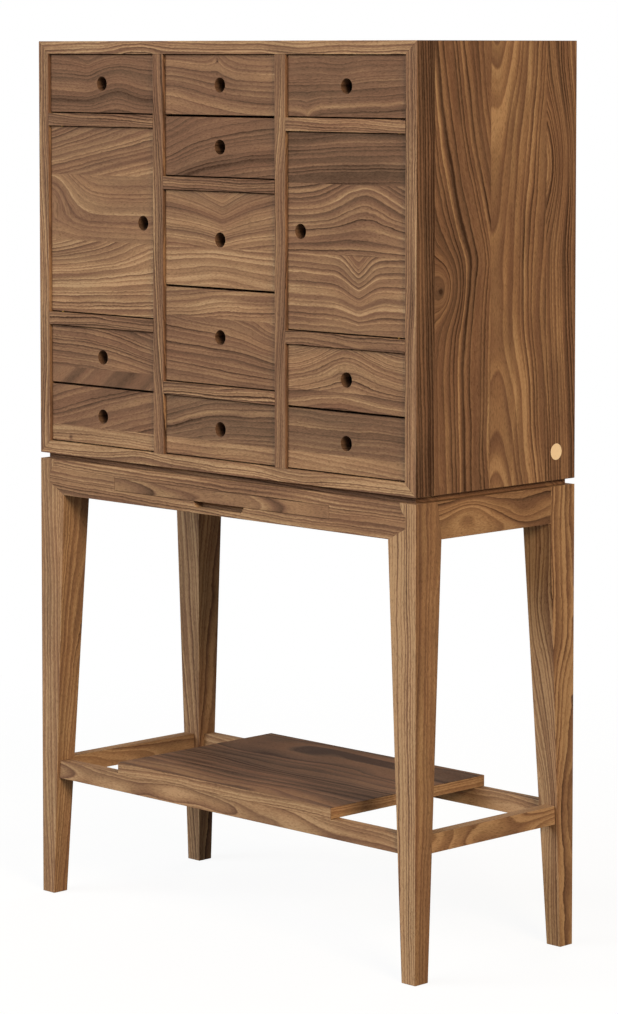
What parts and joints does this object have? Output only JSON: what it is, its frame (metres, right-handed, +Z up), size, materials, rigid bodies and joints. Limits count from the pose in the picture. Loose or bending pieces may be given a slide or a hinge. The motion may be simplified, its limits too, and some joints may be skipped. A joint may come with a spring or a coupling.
{
  "type": "cabinet on stand",
  "caption": "Tall walnut cabinet on a tapered-leg stand, with finger-hole drawers and doors, a hidden tray in the apron and a low shelf board.",
  "frame": {"origin": "on the floor below the middle of the cabinet", "axes": "+X to the right seen from the front, -Y towards the front, +Z up"},
  "size_m": [0.907, 0.38, 1.5],
  "materials": {
    "walnut_carcass": "oiled walnut",
    "walnut_front": "oiled walnut",
    "walnut_stand": "oiled walnut",
    "maple_box": "waxed maple",
    "brass_pin": "turned",
    "pale_inlay": "satin"
  },
  "bodies": {
    "cabinet": {"carcass_top": "walnut_carcass", "carcass_bottom": "walnut_carcass", "carcass_side_left": "walnut_carcass", "carcass_side_right": "walnut_carcass", "back_panel": "walnut_carcass", "partition_left": "walnut_carcass", "partition_right": "walnut_carcass", "left_divider_lower": "walnut_carcass", "left_divider_upper": "walnut_carcass", "middle_divider_lower": "walnut_carcass", "middle_divider_upper": "walnut_carcass", "right_divider_lower": "walnut_carcass", "right_divider_upper": "walnut_carcass", "inlay_disc": "pale_inlay", "waist_frame": "walnut_stand", "apron_front": "walnut_stand", "apron_back": "walnut_stand", "apron_left": "walnut_stand", "apron_right": "walnut_stand", "leg_front_left": "walnut_stand", "leg_front_right": "walnut_stand", "leg_back_left": "walnut_stand", "leg_back_right": "walnut_stand", "stretcher_front": "walnut_stand", "stretcher_back": "walnut_stand", "stretcher_left": "walnut_stand", "stretcher_right": "walnut_stand", "shelf": "walnut_stand", "tray_runner_left": "maple_box", "tray_runner_right": "maple_box"},
    "left_drawer_1": {"left_drawer_1_front": "walnut_front", "left_drawer_1_box": "maple_box"},
    "left_door": {"left_door": "walnut_front", "left_door_pin_lower": "brass_pin", "left_door_pin_upper": "brass_pin"},
    "left_drawer_2": {"left_drawer_2_front": "walnut_front", "left_drawer_2_box": "maple_box"},
    "left_drawer_3": {"left_drawer_3_front": "walnut_front", "left_drawer_3_box": "maple_box"},
    "middle_drawer_1": {"middle_drawer_1_front": "walnut_front", "middle_drawer_1_box": "maple_box"},
    "middle_drawer_2": {"middle_drawer_2_front": "walnut_front", "middle_drawer_2_box": "maple_box"},
    "middle_drawer_3": {"middle_drawer_3_front": "walnut_front", "middle_drawer_3_box": "maple_box"},
    "middle_drawer_4": {"middle_drawer_4_front": "walnut_front", "middle_drawer_4_box": "maple_box"},
    "middle_drawer_5": {"middle_drawer_5_front": "walnut_front", "middle_drawer_5_box": "maple_box"},
    "right_drawer_1": {"right_drawer_1_front": "walnut_front", "right_drawer_1_box": "maple_box"},
    "right_door": {"right_door": "walnut_front", "right_door_pin_lower": "brass_pin", "right_door_pin_upper": "brass_pin"},
    "right_drawer_2": {"right_drawer_2_front": "walnut_front", "right_drawer_2_box": "maple_box"},
    "right_drawer_3": {"right_drawer_3_front": "walnut_front", "right_drawer_3_box": "maple_box"},
    "tray": {"tray_front": "walnut_stand", "tray_box": "maple_box"}
  },
  "joints": [
    {"name": "left_drawer_1_slide", "type": "slide", "parent": "cabinet", "child": "left_drawer_1", "axis": [0, -1, 0], "range_m": [0, 0.27]},
    {"name": "left_door_hinge", "type": "hinge", "parent": "cabinet", "child": "left_door", "pos_m": [-0.405, -0.1778, 1.19175], "axis": [0, 0, -1], "range_deg": [0, 110]},
    {"name": "left_drawer_2_slide", "type": "slide", "parent": "cabinet", "child": "left_drawer_2", "axis": [0, -1, 0], "range_m": [0, 0.27]},
    {"name": "left_drawer_3_slide", "type": "slide", "parent": "cabinet", "child": "left_drawer_3", "axis": [0, -1, 0], "range_m": [0, 0.27]},
    {"name": "middle_drawer_1_slide", "type": "slide", "parent": "cabinet", "child": "middle_drawer_1", "axis": [0, -1, 0], "range_m": [0, 0.27]},
    {"name": "middle_drawer_2_slide", "type": "slide", "parent": "cabinet", "child": "middle_drawer_2", "axis": [0, -1, 0], "range_m": [0, 0.27]},
    {"name": "middle_drawer_3_slide", "type": "slide", "parent": "cabinet", "child": "middle_drawer_3", "axis": [0, -1, 0], "range_m": [0, 0.27]},
    {"name": "middle_drawer_4_slide", "type": "slide", "parent": "cabinet", "child": "middle_drawer_4", "axis": [0, -1, 0], "range_m": [0, 0.27]},
    {"name": "middle_drawer_5_slide", "type": "slide", "parent": "cabinet", "child": "middle_drawer_5", "axis": [0, -1, 0], "range_m": [0, 0.27]},
    {"name": "right_drawer_1_slide", "type": "slide", "parent": "cabinet", "child": "right_drawer_1", "axis": [0, -1, 0], "range_m": [0, 0.27]},
    {"name": "right_door_hinge", "type": "hinge", "parent": "cabinet", "child": "right_door", "pos_m": [0.405, -0.1778, 1.19175], "axis": [0, 0, 1], "range_deg": [0, 110]},
    {"name": "right_drawer_2_slide", "type": "slide", "parent": "cabinet", "child": "right_drawer_2", "axis": [0, -1, 0], "range_m": [0, 0.27]},
    {"name": "right_drawer_3_slide", "type": "slide", "parent": "cabinet", "child": "right_drawer_3", "axis": [0, -1, 0], "range_m": [0, 0.27]},
    {"name": "tray_slide", "type": "slide", "parent": "cabinet", "child": "tray", "axis": [0, -1, 0], "range_m": [0, 0.22]}
  ]
}
